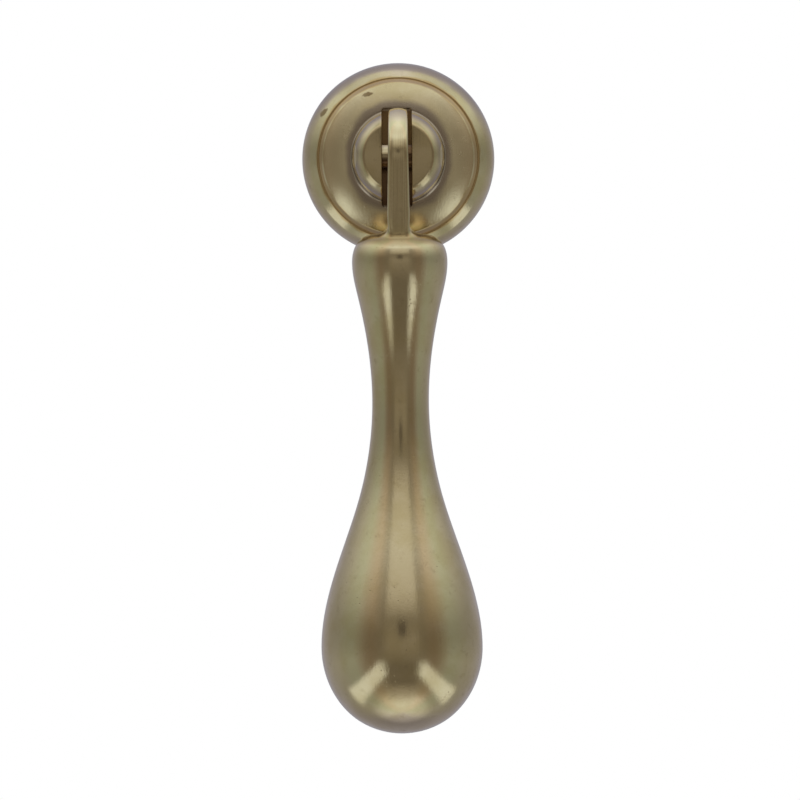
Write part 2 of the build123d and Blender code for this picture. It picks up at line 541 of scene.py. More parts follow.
def set_round(radius, bearing, depth):
    """Points of the rose at a radius and a bearing round its axis, and at a depth."""
    return set_out(radius * np.cos(bearing), radius * np.sin(bearing), depth)


def cheek_grids(sizes, inner, half):
    """One cheek of the boss beside a slot wall at x = half: rings, face, edge and the edge's way out.

    A cheek's row at radius r turns from -a to a, where the cosine of a is c / r, and c is how far out the
    ball that eases the slot's edge touches the row: the half plus the ball, over one less the ball times
    the outward radius over r.
    """
    ball = sizes.slot_edge
    crown = inner[0]
    rows = outline_rows(inner[1:], CHEEK_COUNTS)
    turn = np.linspace(-1, 1, 150)
    r, depth, out_r, out_d = rows.T
    touch = (half + ball) / (1 - ball * out_r / r)
    reach = np.arccos(touch / r)
    angle = reach[:, None] * turn
    cheek = set_round(r[:, None], angle, depth[:, None])

    # The face inside its rounded edge, as upright slices between the slot and the first row
    z = r[0] * np.sin(angle[0])
    bend = 2 * (sizes.crown_depth - sizes.face_depth) / sizes.face_radius**2
    tilt = bend / np.sqrt(1 + (bend * np.hypot(touch[0], z)) ** 2)
    line = (half + ball) / (1 - ball * tilt)
    line[[0, -1]] = touch[0]
    share = np.linspace(0, 1, 12)[:, None]
    x = line + share * (r[0] * np.cos(angle[0]) - line)
    face = set_out(x, z, np.interp(np.hypot(x, z), crown[:, 0], crown[:, 1]))
    face_out = unit(set_out(bend * line, bend * z, np.full(z.size, 1.0)))
    lower = set_round(out_r, -reach, out_d)
    upper = set_round(out_r, reach, out_d)
    edge = np.concatenate((cheek[::-1, 0], face[0, 1:-1], cheek[:, -1]))
    edge_out = np.concatenate((lower[::-1], face_out[1:-1], upper))
    return cheek, face, edge, edge_out


def pocket_edge(sizes, dome, first, last):
    """The slot's edge round its upper end, from x = first to x = -last: points, ways out, ways to the wall.

    The ball that eases the edge rolls round the end. Its middle stays its own radius and the corner's
    away from the corner's middle, and it touches the dome at its own radius along the dome's way out.
    """
    end = sizes.slot_length / 2
    ball = sizes.slot_edge
    right = first - POCKET_CORNER
    left = POCKET_CORNER - last
    bend = np.linspace(0, math.pi / 2, 7)
    cross = np.linspace(right, left, 22)[1:-1]
    way = np.concatenate((bend, np.full(cross.size, math.pi / 2), bend + math.pi / 2))
    middle_x = np.concatenate((np.full(bend.size, right), cross, np.full(bend.size, left)))
    ball_x = middle_x + (POCKET_CORNER + ball) * np.cos(way)
    ball_z = end - POCKET_CORNER + (POCKET_CORNER + ball) * np.sin(way)
    bearing = np.arctan2(ball_z, ball_x)
    dome_out = np.stack([np.interp(np.hypot(ball_x, ball_z), dome[:, 0], side) for side in outward(dome).T])
    pocket_x = ball_x + ball * dome_out[0] * np.cos(bearing)
    pocket_z = ball_z + ball * dome_out[0] * np.sin(bearing)
    pocket = set_out(pocket_x, pocket_z, np.interp(np.hypot(pocket_x, pocket_z), dome[:, 0], dome[:, 1]))
    pocket_out = unit(set_round(dome_out[0], bearing, dome_out[1]))
    return pocket, pocket_out, set_round(-1.0, way, 0.0)


def rose_grids(sizes):
    """The rose as grids: two cheeks, the slot's eased edge, walls and floor, and rings to the screw hole.

    The left cheek and the slot's lower end are the right cheek and the upper end, half a turn round.
    """
    right = sizes.slot_width / 2 - sizes.slot_shift
    left = sizes.slot_width / 2 + sizes.slot_shift
    end = sizes.slot_length / 2
    ball = sizes.slot_edge
    inner, outer = rose_outline(sizes)
    dome = outer[0]
    start = dome[0, 0]
    half_turn = np.array((-1.0, 1.0, -1.0))
    cheek, face, edge, edge_out = cheek_grids(sizes, inner, right)
    pocket, pocket_out, pocket_wall = pocket_edge(sizes, dome, right, left)
    far_side = cheek_grids(sizes, inner, left)
    far_cheek, far_face, far_edge, far_edge_out = (grid * half_turn for grid in far_side)
    far_end = pocket_edge(sizes, dome, left, right)
    far_pocket, far_pocket_out, far_pocket_wall = (grid * half_turn for grid in far_end)
    edge_wall = np.broadcast_to((-1.0, 0.0, 0.0), edge.shape)
    far_edge_wall = edge_wall * half_turn
    # Where a cheek's edge meets an end of the slot, both take the cheek's point
    for near_end, far_end, near_side, far_side in (
        (pocket, far_pocket, edge, far_edge),
        (pocket_out, far_pocket_out, edge_out, far_edge_out),
        (pocket_wall, far_pocket_wall, edge_wall, far_edge_wall),
    ):
        near_end[[0, -1]] = near_side[-1], far_side[0]
        far_end[[0, -1]] = far_side[-1], near_side[0]
    loop = np.concatenate((edge, pocket, far_edge, far_pocket))
    loop_out = np.concatenate((edge_out, pocket_out, far_edge_out, far_pocket_out))
    loop_wall = np.concatenate((edge_wall, pocket_wall, far_edge_wall, far_pocket_wall))
    centre = loop - ball * loop_out
    share = np.linspace(0, 1, 6)[:, None, None]
    eased_edge = centre + ball * turn_between(loop_out, loop_wall, share)
    top = eased_edge[-1]
    bottom = top * (1, 0, 1) - (0, sizes.slot_floor, 0)
    wall = top + (bottom - top) * np.array((0, 0.5, 1))[:, None, None]
    # The floor's middle line, whose points are halfway between those of the two walls
    height = np.clip(top[:, 2], FLOOR_INSET - end, end - FLOOR_INSET)
    near_wall = slice(0, len(edge))
    far_wall = slice(len(edge) + len(pocket), 2 * len(edge) + len(pocket))
    halfway = (height[near_wall] + height[far_wall][::-1]) / 2
    height[near_wall] = halfway
    height[far_wall] = halfway[::-1]
    height[[near_wall.stop, far_wall.start - 1]] = halfway[-1]
    height[[far_wall.stop, -1]] = halfway[0]
    middle = np.stack((np.full(len(top), -sizes.slot_shift), bottom[:, 1], height), axis=-1)
    floor = np.stack((bottom, middle))

    # From the cheeks' feet and the slot's ends out to a full ring, then on round the rim to the back
    ring = np.concatenate((cheek[-1], pocket, far_cheek[-1], far_pocket))
    bearing = np.unwrap(np.arctan2(ring[:, 2], ring[:, 0]))
    inner_radius = np.hypot(ring[:, 0], ring[:, 2])
    rest = dome[dome[:, 0] > start + RING_START]
    share = np.linspace(0, 1, 5)[:, None]
    join_radius = inner_radius + (rest[0, 0] - inner_radius) * share
    join = set_round(join_radius, bearing, np.interp(join_radius, dome[:, 0], dome[:, 1]))
    rows = outline_rows((rest, *outer[1:]), RING_COUNTS)
    rings = set_round(rows[:, :1], bearing, rows[:, 1:2])
    thread = thread_rows(sizes, bearing, rows[-1, 1])
    return (
        (cheek, False),
        (far_cheek, False),
        (face, False),
        (far_face, False),
        (eased_edge, True),
        (wall, True),
        (floor, True),
        (join, True),
        (rings, True),
        (thread, True),
    )


def thread_rows(sizes, bearing, start):
    """Rings down the screw hole, with its thread's turns.

    The radius is the hole's, less the thread's height times a ridge that rises and falls once a pitch.
    The ridge's place moves down the hole by a pitch in each turn round it, and it fades in and out near
    the hole's ends.
    """
    end = sizes.hole_depth - THREAD_RELIEF
    depth = np.linspace(start, end, 46)[:, None]
    place = (depth / sizes.thread_pitch + bearing / (2 * math.pi)) % 1
    ridge = np.clip((np.abs(2 * place - 1) - THREAD_GROOVE) / THREAD_FLANK, 0, 1)
    fade = smooth(np.minimum(depth - start, end - depth) / THREAD_FADE)
    radius = SCREW_RADIUS - sizes.thread_height * ridge * fade
    bottom = np.linspace(SCREW_RADIUS, 0, 3)[:, None]
    radius = np.concatenate((radius, np.broadcast_to(bottom, (bottom.size, bearing.size))))
    depth = np.concatenate((depth, np.full(bottom.shape, sizes.hole_depth)))
    return set_round(radius, bearing, depth)


def boss_radius_at(sizes, depth):
    """The boss's radius at a depth, read off its outline."""
    inner, _ = rose_outline(sizes)
    outline = np.concatenate(inner[1:4])[::-1]
    return np.interp(depth, outline[:, 1], outline[:, 0])


def cutter_grid(radius, reach, depth, columns=128):
    """A closed rod across the boss: circles round the hinge line, shrunk to a point at each end."""
    turn = np.linspace(0, 2 * math.pi, columns, endpoint=False)
    ring = np.array((0, radius, radius, 0))[:, None]
    x = np.array((-reach, -reach, reach, reach))[:, None]
    return set_out(x, ring * np.cos(turn), depth + ring * np.sin(turn))


def pin_grid(sizes, columns=128):
    """The hinge pin: circles round the hinge line, whose ends lie just under the boss's side.

    At a circle's point the end is the root of the boss's radius there, squared, less the height squared,
    less the recess, and near the rim less a quarter round.
    """
    edge = 0.1
    turn = np.linspace(0, 2 * math.pi, columns, endpoint=False)
    bend = np.linspace(0, math.pi / 2, 5)
    flat = np.linspace(0, sizes.pin_radius - edge, 8)[:-1]
    ring = np.concatenate((flat, sizes.pin_radius - edge * (1 - np.sin(bend))))
    lower = np.concatenate((np.zeros(flat.size), edge * (1 - np.cos(bend))))
    z = ring[:, None] * np.cos(turn)
    depth = HINGE_DEPTH + ring[:, None] * np.sin(turn)
    reach = np.sqrt(boss_radius_at(sizes, depth) ** 2 - z**2) - sizes.pin_recess - lower[:, None]
    right = set_out(reach, z, depth)
    left = set_out(-reach, z, depth)
    return np.concatenate((right, left[::-1]))


def cut(mesh, cutter):
    """The mesh less the cutter, in place of both."""
    name = mesh.name
    piece = bpy.data.objects.new("blank", mesh)
    tool = bpy.data.objects.new("cutter", cutter)
    for thing in (piece, tool):
        bpy.context.scene.collection.objects.link(thing)
    step = piece.modifiers.new("Cross hole", "BOOLEAN")
    step.operation = "DIFFERENCE"
    step.solver = "EXACT"
    step.object = tool
    result = bpy.data.meshes.new_from_object(piece.evaluated_get(bpy.context.evaluated_depsgraph_get()))
    bpy.data.objects.remove(tool)
    bpy.data.objects.remove(piece)
    bpy.data.meshes.remove(cutter)
    bpy.data.meshes.remove(mesh)
    result.name = name
    return result


# Finishes

# Half the size of a smudge, the scale of the tongue's brushed lines along each axis, and the bump's height
# in metres
SMUDGE_SIZE = (0.8, 1e6, 0.32)
BRUSHED_LINES = (5.5, 0.06, 0.06)
BUMP_HEIGHT = 0.00002


class Nodes:
    """Adds nodes to one tree. What feeds a node is a number, a colour or another node's output."""

    def __init__(self, tree):
        self.tree = tree

    def feed(self, socket, value):
        """Links an output to the socket, or sets the socket to a plain value."""
        if isinstance(value, bpy.types.NodeSocket):
            self.tree.links.new(value, socket)
        elif socket.type == "RGBA":
            socket.default_value = (*value, 1)
        else:
            socket.default_value = value

    def add(self, kind, sockets=None, **settings):
        """Adds a node, sets its own settings, and feeds its sockets, given by name or number."""
        node = self.tree.nodes.new(kind)
        for name, value in settings.items():
            setattr(node, name, value)
        for socket, value in (sockets or {}).items():
            self.feed(node.inputs[socket], value)
        return node

    def maths(self, operation, *values):
        """The output of a Math node."""
        return self.add("ShaderNodeMath", dict(enumerate(values)), operation=operation).outputs[0]

    def times(self, first, *others):
        """The product of the values."""
        for value in others:
            first = self.maths("MULTIPLY", first, value)
        return first

    def plus(self, first, *others):
        """The sum of the values."""
        for value in others:
            first = self.maths("ADD", first, value)
        return first

    def between(self, value, low, high):
        """Rises smoothly from 0 where the value is low to 1 where it is high."""
        ends = {"Value": value, "From Min": low, "From Max": high}
        return self.add("ShaderNodeMapRange", ends, interpolation_type="SMOOTHSTEP").outputs[0]

    def band(self, value, low, high, blur):
        """1 between low and high, and 0 a blur beyond them."""
        rise = self.between(value, low - blur, low + blur)
        return self.times(rise, self.between(value, high + blur, high - blur))

    def mixed(self, share, first, second, blend="MIX"):
        """Two colours mixed by a share."""
        sockets = {0: share, 6: first, 7: second}
        return self.add("ShaderNodeMix", sockets, data_type="RGBA", blend_type=blend).outputs[2]

    def noise(self, place, scale, detail=3.0, roughness=0.5):
        """A noise value from 0 to 1 at a place."""
        sockets = {"Vector": place, "Scale": scale, "Detail": detail, "Roughness": roughness}
        return self.add("ShaderNodeTexNoise", sockets).outputs[0]

    def stretched(self, place, scale, turn=(0, 0, 0)):
        """A place scaled along each axis and then turned."""
        sockets = {"Vector": place, "Rotation": turn, "Scale": scale}
        return self.add("ShaderNodeMapping", sockets).outputs[0]

    def split(self, vector):
        """The three parts of a vector."""
        return self.add("ShaderNodeSeparateXYZ", {0: vector}).outputs

    def ramp(self, value, stops):
        """A colour that runs through (place, colour) stops."""
        node = self.add("ShaderNodeValToRGB", {0: value})
        elements = node.color_ramp.elements
        while len(elements) < len(stops):
            elements.new(0.5)
        for element, (place, colour) in zip(elements, stops):
            element.position = place
            element.color = (*colour, 1)
        return node.outputs[0]


def smudge(nodes, place, across, up, angle):
    """1 inside a soft, broken oval that is this far across and up the rose's front, turned by an angle."""
    sockets = {
        "Vector": place,
        "Location": (across, 0, up),
        "Rotation": (0, math.radians(angle), 0),
        "Scale": SMUDGE_SIZE,
    }
    moved = nodes.add("ShaderNodeMapping", sockets, vector_type="TEXTURE").outputs[0]
    reach = nodes.add("ShaderNodeVectorMath", {0: moved}, operation="LENGTH").outputs["Value"]
    return nodes.between(nodes.plus(reach, nodes.noise(place, 3.0, 4.0)), 1.5, 1.05)


def rose_tarnish_and_shading(nodes, finish, place, colour):
    """The rose's colour with its tarnish and its painted shade, light and reflection, and how much duller its
    dome is.

    Tarnish and painted shade in rings follow the distance from the rose's axis, made uneven by a noise: the
    root of x squared plus z squared, plus the noise.
    """
    x, y, z = nodes.split(place)
    depth = nodes.times(y, -1.0)
    uneven = nodes.times(nodes.plus(nodes.noise(place, 0.42, 4.0), -0.5), 0.7)
    radius = nodes.plus(nodes.maths("SQRT", nodes.plus(nodes.times(x, x), nodes.times(z, z))), uneven)
    front = nodes.between(depth, 0.1, 0.6)
    in_front_of_floor = nodes.between(depth, 3.7, 4.0)
    dome = nodes.band(depth, 3.6, 7.1, 0.3)

    # Wax in the groove, painted grey shade and reflection at the boss's side and foot, and a painted grey
    # reflection on top of the rim
    groove = nodes.times(nodes.band(radius, 9.4, 10.2, 0.15), dome, 0.7)
    colour = nodes.mixed(groove, colour, finish.wax_and_painted_shading)
    # The painted grey shade and reflection is weaker up the boss's side and stronger at its foot
    painted_grey_share = nodes.plus(nodes.times(nodes.band(depth, 7.6, 10.4, 0.6), -0.5), 0.75)
    foot = nodes.times(nodes.band(radius, 5.1, 7.1, 0.4), in_front_of_floor, painted_grey_share)
    colour = nodes.mixed(foot, colour, finish.painted_grey_shade_and_reflection)
    # Painted grey reflection on the upper part of the rim, in front
    rim = nodes.times(nodes.between(radius, 10.6, 11.3), nodes.between(z, 2.0, 8.0), front, 0.68)
    colour = nodes.mixed(rim, colour, finish.painted_grey_shade_and_reflection)

    # Painted shade in the slot, with painted light from above making its upper half browner, and a duller
    # face
    from_middle = nodes.maths("ABSOLUTE", nodes.plus(x, SLOT_SHIFT))
    # Painted shade: near-black brown over the slot's walls and floor
    slot = nodes.times(nodes.between(from_middle, 1.94, 1.82), in_front_of_floor, 0.9)
    slot = nodes.times(slot, nodes.between(nodes.maths("ABSOLUTE", z), 6.0, 5.8))
    # Painted light from above: the slot's upper half is browner
    upper = nodes.times(nodes.between(z, -1.0, 3.0), 0.3)
    painted_slot_shading = nodes.mixed(upper, finish.chip_dark_and_painted_shade, finish.wax_and_painted_shading)
    colour = nodes.mixed(slot, colour, painted_slot_shading)
    colour = nodes.mixed(nodes.times(nodes.between(depth, 12.2, 12.6), 0.24), colour, finish.patina_and_painted_shade)

    # Two old chips, and a painted highlight: brighter brass on the dome's sides and under the boss
    chips = nodes.plus(smudge(nodes, place, -9.25, 5.75, -52), smudge(nodes, place, -3.75, 7.9, -18))
    chips = nodes.times(chips, front)
    colour = nodes.mixed(chips, colour, finish.patina_and_painted_shade)
    colour = nodes.mixed(nodes.times(chips, 0.35), colour, finish.chip_dark_and_painted_shade)
    # Painted highlight on the dome's sides and under the boss
    sides = nodes.between(nodes.maths("ABSOLUTE", x), 3.5, 6.5)
    sides = nodes.maths("MAXIMUM", sides, nodes.between(z, -4.5, -7.5))
    sides = nodes.times(sides, dome, nodes.band(radius, 6.6, 9.2, 0.4), 0.9)
    colour = nodes.mixed(sides, colour, finish.painted_sheen_brass)
    return colour, nodes.times(nodes.band(radius, 5.8, 9.4, 0.4), dome, 0.08)


def drop_tarnish_and_shading(nodes, finish, place, colour):
    """The drop's colour: painted shade at the tongue's foot, a brushed tongue, and a painted highlight on its
    top.
    """
    z = nodes.split(place)[2]
    # Painted shade on the head's top round the tongue's foot, where the rose and the tongue shade it
    painted_collar_shade = nodes.times(nodes.band(z, -10.9, -9.7, 0.35), 0.45)
    colour = nodes.mixed(painted_collar_shade, colour, finish.wax_and_painted_shading)
    edge = nodes.times(nodes.band(z, -10.7, -10.1, 0.4), 0.9)
    colour = nodes.mixed(edge, colour, finish.patina_and_painted_shade)
    # Painted highlight on the top of the tongue's eye
    painted_highlight = nodes.times(nodes.band(z, 1.8, 5.2, 1.2), 0.8)
    colour = nodes.mixed(painted_highlight, colour, finish.painted_sheen_brass)
    strokes = nodes.noise(nodes.stretched(place, BRUSHED_LINES), 1.0, 3.0, 0.6)
    brushed = nodes.times(nodes.between(strokes, 0.42, 0.62), nodes.band(z, -9.0, 2.5, 1.2), 0.3)
    return nodes.mixed(brushed, colour, finish.patina_and_painted_shade), 0.0


def pin_painted_shade(nodes, finish, place, colour):
    """The pin's colour with painted shade on it in the slot, darker underneath and to the right of the
    tongue.
    """
    x, _, z = nodes.split(place)
    # Painted shade, darker to the right of the tongue and underneath
    inside = nodes.between(nodes.maths("ABSOLUTE", x), 2.15, 2.0)
    painted_pin_shade = nodes.maths("MAXIMUM", nodes.between(x, 0.0, 0.5), nodes.between(z, 0.2, -0.6))
    painted_pin_shade = nodes.plus(nodes.times(painted_pin_shade, 0.73), 0.2)
    return nodes.mixed(nodes.times(inside, painted_pin_shade), colour, finish.chip_dark_and_painted_shade), 0.0


# How each piece is finished: its tarnish and painted shade, its pits' strength, and its polishing lines'
# scale and turn
FINISHES = {
    "rose": (rose_tarnish_and_shading, 0.4, (5.2, 5.2, 0.16), (0, math.radians(35), 0)),
    "drop": (drop_tarnish_and_shading, 1.0, (4.2, 4.2, 0.13), (0.12, 0.05, 0)),
    "pin": (pin_painted_shade, 1.0, (4.2, 4.2, 0.13), (0.12, 0.05, 0)),
}


def brass(name, finish, piece):
    """Aged polished brass: soft mottling, small stains, the piece's tarnish and painted shade and light, fine
    pits and polishing lines.

    Places are Object coordinates in millimetres.
    """
    tarnish, pit_strength, line_scale, line_turn = FINISHES[piece]
    material = bpy.data.materials.new(name)
    material.use_nodes = True
    shader = material.node_tree.nodes["Principled BSDF"]
    nodes = Nodes(material.node_tree)
    metres = nodes.add("ShaderNodeTexCoord").outputs["Object"]
    place = nodes.stretched(metres, (1 / MM, 1 / MM, 1 / MM))
    mottle = nodes.between(nodes.noise(place, 0.23, 5.0, 0.6), 0.38, 0.66)
    stain = nodes.between(nodes.noise(place, 0.7, 6.0, 0.65), 0.56, 0.74)
    colour = nodes.mixed(mottle, finish.brass, finish.deep_brass)
    colour = nodes.mixed(nodes.times(stain, finish.stain), colour, finish.patina_and_painted_shade)
    # The piece's tarnish, with its painted shade, light and reflection
    colour, dullness = tarnish(nodes, finish, place, colour)

    # Fine pits, and lines left by the polishing cloth
    pits = nodes.add("ShaderNodeTexVoronoi", {"Vector": place, "Scale": 1.5}, feature="F1")
    pitted = nodes.between(nodes.noise(place, 0.5, 2.0), 0.48, 0.62)
    pit = nodes.times(nodes.between(pits.outputs["Distance"], 0.16, 0.06), pitted, pit_strength)
    colour = nodes.mixed(nodes.times(pit, 0.55), colour, finish.patina_and_painted_shade)
    lines = nodes.noise(nodes.stretched(place, line_scale, line_turn), 1.0, 2.0)
    grain = nodes.noise(place, 3.8, 3.0, 0.6)
    height = nodes.plus(nodes.times(lines, 0.6), nodes.times(grain, 0.5), nodes.times(pit, -1.2))
    sockets = {"Strength": finish.bump, "Distance": BUMP_HEIGHT, "Height": height}
    bump = nodes.add("ShaderNodeBump", sockets)
    worn = nodes.plus(nodes.times(mottle, 0.05), nodes.times(stain, 0.08), nodes.times(lines, 0.04))
    nodes.feed(shader.inputs["Normal"], bump.outputs[0])
    nodes.feed(shader.inputs["Roughness"], nodes.plus(worn, dullness, finish.roughness))
    nodes.feed(shader.inputs["Base Color"], colour)
    shader.inputs["Metallic"].default_value = 1.0
    return material


# Stage

# The studio's light by height, as (degrees above level, level of light), at four turns from the front. The
# dimmer it is, the more it takes a tint, which is warm in front
WARM = (1.0, 0.87, 0.64)
FRONT_LIGHT = (
    ((-90, 0.84), (-77, 0.96), (-70, 0.84), (-64, 0.6), (-58, 0.42), (-52, 0.34), (-47, 0.24), (-42, 0.16))
    + ((-34, 0.18), (-22, 0.16), (-10, 0.22), (4, 0.28), (17, 0.2), (23, 0.42), (29, 0.6), (37, 0.68))
    + ((43, 0.96), (49, 0.9), (56, 0.8), (66, 0.84), (75, 1.0), (90, 1.0))
)
SHADE_LIGHT = (
    ((-90, 0.84), (-78, 0.88), (-70, 0.86), (-64, 0.74), (-57, 0.45), (-50, 0.3), (-40, 0.24), (-24, 0.22))
    + ((-12, 0.2), (0, 0.18), (8, 0.17), (14, 0.23), (20, 0.34), (25, 0.44), (30, 0.55), (36, 0.72))
    + ((42, 0.93), (49, 0.86), (56, 0.77), (66, 0.84), (75, 1.0), (90, 1.0))
)
FLANK_LIGHT = (
    ((-90, 0.8), (-78, 0.74), (-70, 0.66), (-64, 0.52), (-58, 0.38), (-30, 0.33), (-12, 0.36), (-3, 0.31))
    + ((4, 0.27), (10, 0.29), (16, 0.38), (22, 0.5), (28, 0.62), (36, 0.76), (43, 0.82), (50, 0.78))
    + ((57, 0.68), (72, 0.8), (90, 1.0))
)
BACK_LIGHT = ((-90, 0.7), (-68, 0.36), (-60, 0.25), (-28, 0.36), (0, 0.39), (42, 0.5), (66, 0.7), (90, 1.0))
# What the light's colour is multiplied by at each share of a half turn from the front
CASTS = (
    (0.0, (1.0, 1.0, 1.0)),
    (0.17, (1.0, 1.0, 1.0)),
    (0.25, (1.05, 0.97, 0.94)),
    (0.32, (1.03, 0.98, 0.95)),
    (0.42, (0.96, 1.02, 0.94)),
    (0.48, (0.97, 1.02, 0.95)),
    (0.6, (1.0, 0.99, 1.0)),
    (0.85, (1.0, 0.97, 1.08)),
)
# Patches as (low, high, blur) in degrees of turn and of tilt, with a strength: two dark uprights with darker
# cores beside the bright middle, a dark patch just above the camera's level, and the low lamps beside it
UPRIGHT = ((25, 43, 7), (16, 38, 6), 0.36)
UPRIGHT_CORE = ((26, 32, 3), (8, 38, 6), 0.3)
MIDDLE_PATCH = ((-10, 6, 2), (7, 16, 2), 0.8)
LOW_LAMP = ((25, 39, 4), (-27, -16, 4), 0.52)
# The long strip lamps run between these two directions, on each side
STRIP_START = np.array((0.435, -0.819, -0.375))
STRIP_END = np.array((0.694, 0.324, -0.643))
STRIP_STRENGTH = 0.79


def studio_world(scene, stage):
    """A pale studio all round: light above, dark in front at the camera's level, and pairs of low lamps.

    Only gloss sees it. The camera sees plain white, and the floor gets a plain level of light.
    """
    world = bpy.data.worlds.new("Studio")
    scene.world = world
    world.use_nodes = True
    world.node_tree.nodes.clear()
    nodes = Nodes(world.node_tree)
    x, y, up = nodes.split(nodes.add("ShaderNodeTexCoord").outputs["Generated"])
    side = nodes.maths("ABSOLUTE", x)
    tilt = nodes.maths("DEGREES", nodes.maths("ARCSINE", up))
    turn = nodes.maths("DEGREES", nodes.maths("ARCTAN2", side, nodes.times(y, -1.0)))
    place = nodes.times(nodes.plus(tilt, 90.0), 1 / 180)

    def by_height(levels, dull_tint):
        """The light by height: its level times the lamps' tint, or the dull tint where it is dim."""
        stops = []
        for degrees, level in levels:
            tints = zip(stage.lamp_tint, dull_tint)
            colour = [level * (pale * min(level, 1) + dull * max(1 - level, 0)) for pale, dull in tints]
            stops.append(((degrees + 90) / 180, colour))
        return nodes.ramp(place, stops)

    def patch(turns, tilts, strength):
        """The strength inside a soft rectangle of the studio."""
        return nodes.times(nodes.band(turn, *turns), nodes.band(tilt, *tilts), strength)

    colour = by_height(FRONT_LIGHT, WARM)
    for start, end, levels, dull_tint in (
        (17, 33, SHADE_LIGHT, WARM),
        (46, 76, FLANK_LIGHT, (1.0, 1.03, 0.97)),
        (110, 160, BACK_LIGHT, (1.0, 1.0, 1.12)),
    ):
        colour = nodes.mixed(nodes.between(turn, start, end), colour, by_height(levels, dull_tint))
    colour = nodes.mixed(1.0, colour, nodes.ramp(nodes.times(turn, 1 / 180), CASTS), "MULTIPLY")
    colour = nodes.mixed(patch(*UPRIGHT), colour, stage.dark_tint)
    colour = nodes.mixed(patch(*UPRIGHT_CORE), colour, stage.dark_tint)
    colour = nodes.mixed(patch(*MIDDLE_PATCH), colour, stage.darkest_tint)

    # A strip is near the great circle through its two ends, and between them
    way = nodes.add("ShaderNodeCombineXYZ", {0: side, 1: y, 2: up}).outputs[0]

    def along(vector):
        """How far the way looked in runs along a vector."""
        dot = nodes.add("ShaderNodeVectorMath", {0: way, 1: vector}, operation="DOT_PRODUCT")
        return dot.outputs["Value"]

    off = nodes.maths("ABSOLUTE", along(unit(np.cross(STRIP_START, STRIP_END))))
    reach = math.cos(math.acos(STRIP_START @ STRIP_END) / 2)
    within = nodes.between(along(unit(STRIP_START + STRIP_END)), reach - 0.03, reach + 0.06)
    strip = nodes.times(nodes.between(off, 0.19, 0.1), within, STRIP_STRENGTH)
    colour = nodes.mixed(nodes.maths("MAXIMUM", patch(*LOW_LAMP), strip), colour, stage.lamp_tint)

    gloss = nodes.add("ShaderNodeBackground", {"Color": colour, "Strength": stage.studio_light})
    plain = nodes.add("ShaderNodeBackground", {"Color": (1, 1, 1)})
    seen = nodes.add("ShaderNodeLightPath").outputs["Is Glossy Ray"]
    choice = nodes.add("ShaderNodeMixShader", {0: seen, 1: plain.outputs[0], 2: gloss.outputs[0]})
    nodes.add("ShaderNodeOutputWorld", {"Surface": choice.outputs[0]})


def studio_floor(stage):
    """A pale disc under the handle, in rings that grow from its middle. Gloss doesn't see it."""
    rings = 12
    columns = 96
    turn = np.linspace(0, 2 * math.pi, columns, endpoint=False)
    radius = np.linspace(0, stage.floor_radius, rings)[:, None]
    parts = np.broadcast_arrays(radius * np.cos(turn), radius * np.sin(turn), stage.floor_height)
    mesh = bpy.data.meshes.new("floor")
    points = np.stack(parts, axis=-1).reshape(-1, 3)
    mesh.from_pydata(points.tolist(), [], grid_faces(rings, columns, True).tolist())
    floor = bpy.data.objects.new("floor", mesh)
    bpy.context.scene.collection.objects.link(floor)
    material = bpy.data.materials.new("pale_floor")
    material.use_nodes = True
    shader = material.node_tree.nodes["Principled BSDF"]
    shader.inputs["Base Color"].default_value = (*stage.floor_colour, 1)
    shader.inputs["Roughness"].default_value = 0.8
    mesh.materials.append(material)
    floor.visible_glossy = False


def add_camera(scene, stage):
    """The camera, level with the middle of the handle and far off, with a slight lean."""
    camera = bpy.data.cameras.new("camera")
    camera.lens = stage.lens
    camera.sensor_width = 36
    camera.clip_end = 10
    thing = bpy.data.objects.new("camera", camera)
    thing.location = stage.camera_place
    thing.rotation_euler = (math.radians(90), stage.camera_lean, 0)
    scene.collection.objects.link(thing)
    scene.camera = thing


# Add-on


def number(name, description, default, **settings):
    """A number that a user can change."""
    return bpy.props.FloatProperty(name=name, description=description, default=default, **settings)


def size(name, description, default):
    """A size in millimetres, or a share, that a user can change."""
    return number(name, description, default, min=0.0, precision=3)


def tint(name, description, default):
    """A colour that a user can change."""
    settings = {"subtype": "COLOR", "size": 3, "min": 0.0, "max": 1.0}
    return bpy.props.FloatVectorProperty(name=name, description=description, default=default, **settings)


class HandleRoseSizes(bpy.types.PropertyGroup):
    """Sizes of the rose, in millimetres."""

    rose_radius: size("Rose radius", "Radius of the rose at its widest", 12.0)
    face_radius: size("Face radius", "Radius of the boss's face at its edge", 4.38)
    face_depth: size("Face edge depth", "How far the edge of the face is from the drawer", 12.7)
    crown_depth: size("Face depth", "How far the middle of the face is from the drawer", 12.95)
    slot_width: size("Slot width", "Width of the slot down the boss", 3.68)
    slot_shift: size("Slot shift", "How far the slot is left of the boss's middle", SLOT_SHIFT)
    slot_length: size("Slot length", "Length of the slot", 12.14)
    slot_floor: size("Slot floor", "How far the slot's floor is from the drawer", 4.13)
    slot_edge: size("Slot edge", "Radius that eases the slot's edge", 0.1)
    hole_depth: size("Screw hole depth", "Depth of the screw hole in the back", 3.5)
    thread_pitch: size("Thread pitch", "Distance from one turn of the thread to the next", 0.7)
    thread_height: size("Thread height", "How far the thread stands into the hole", 0.38)
    pin_radius: size("Pin radius", "Radius of the hinge pin", 1.49)
    pin_recess: size("Pin recess", "How far the pin's ends lie under the boss's side", 0.03)


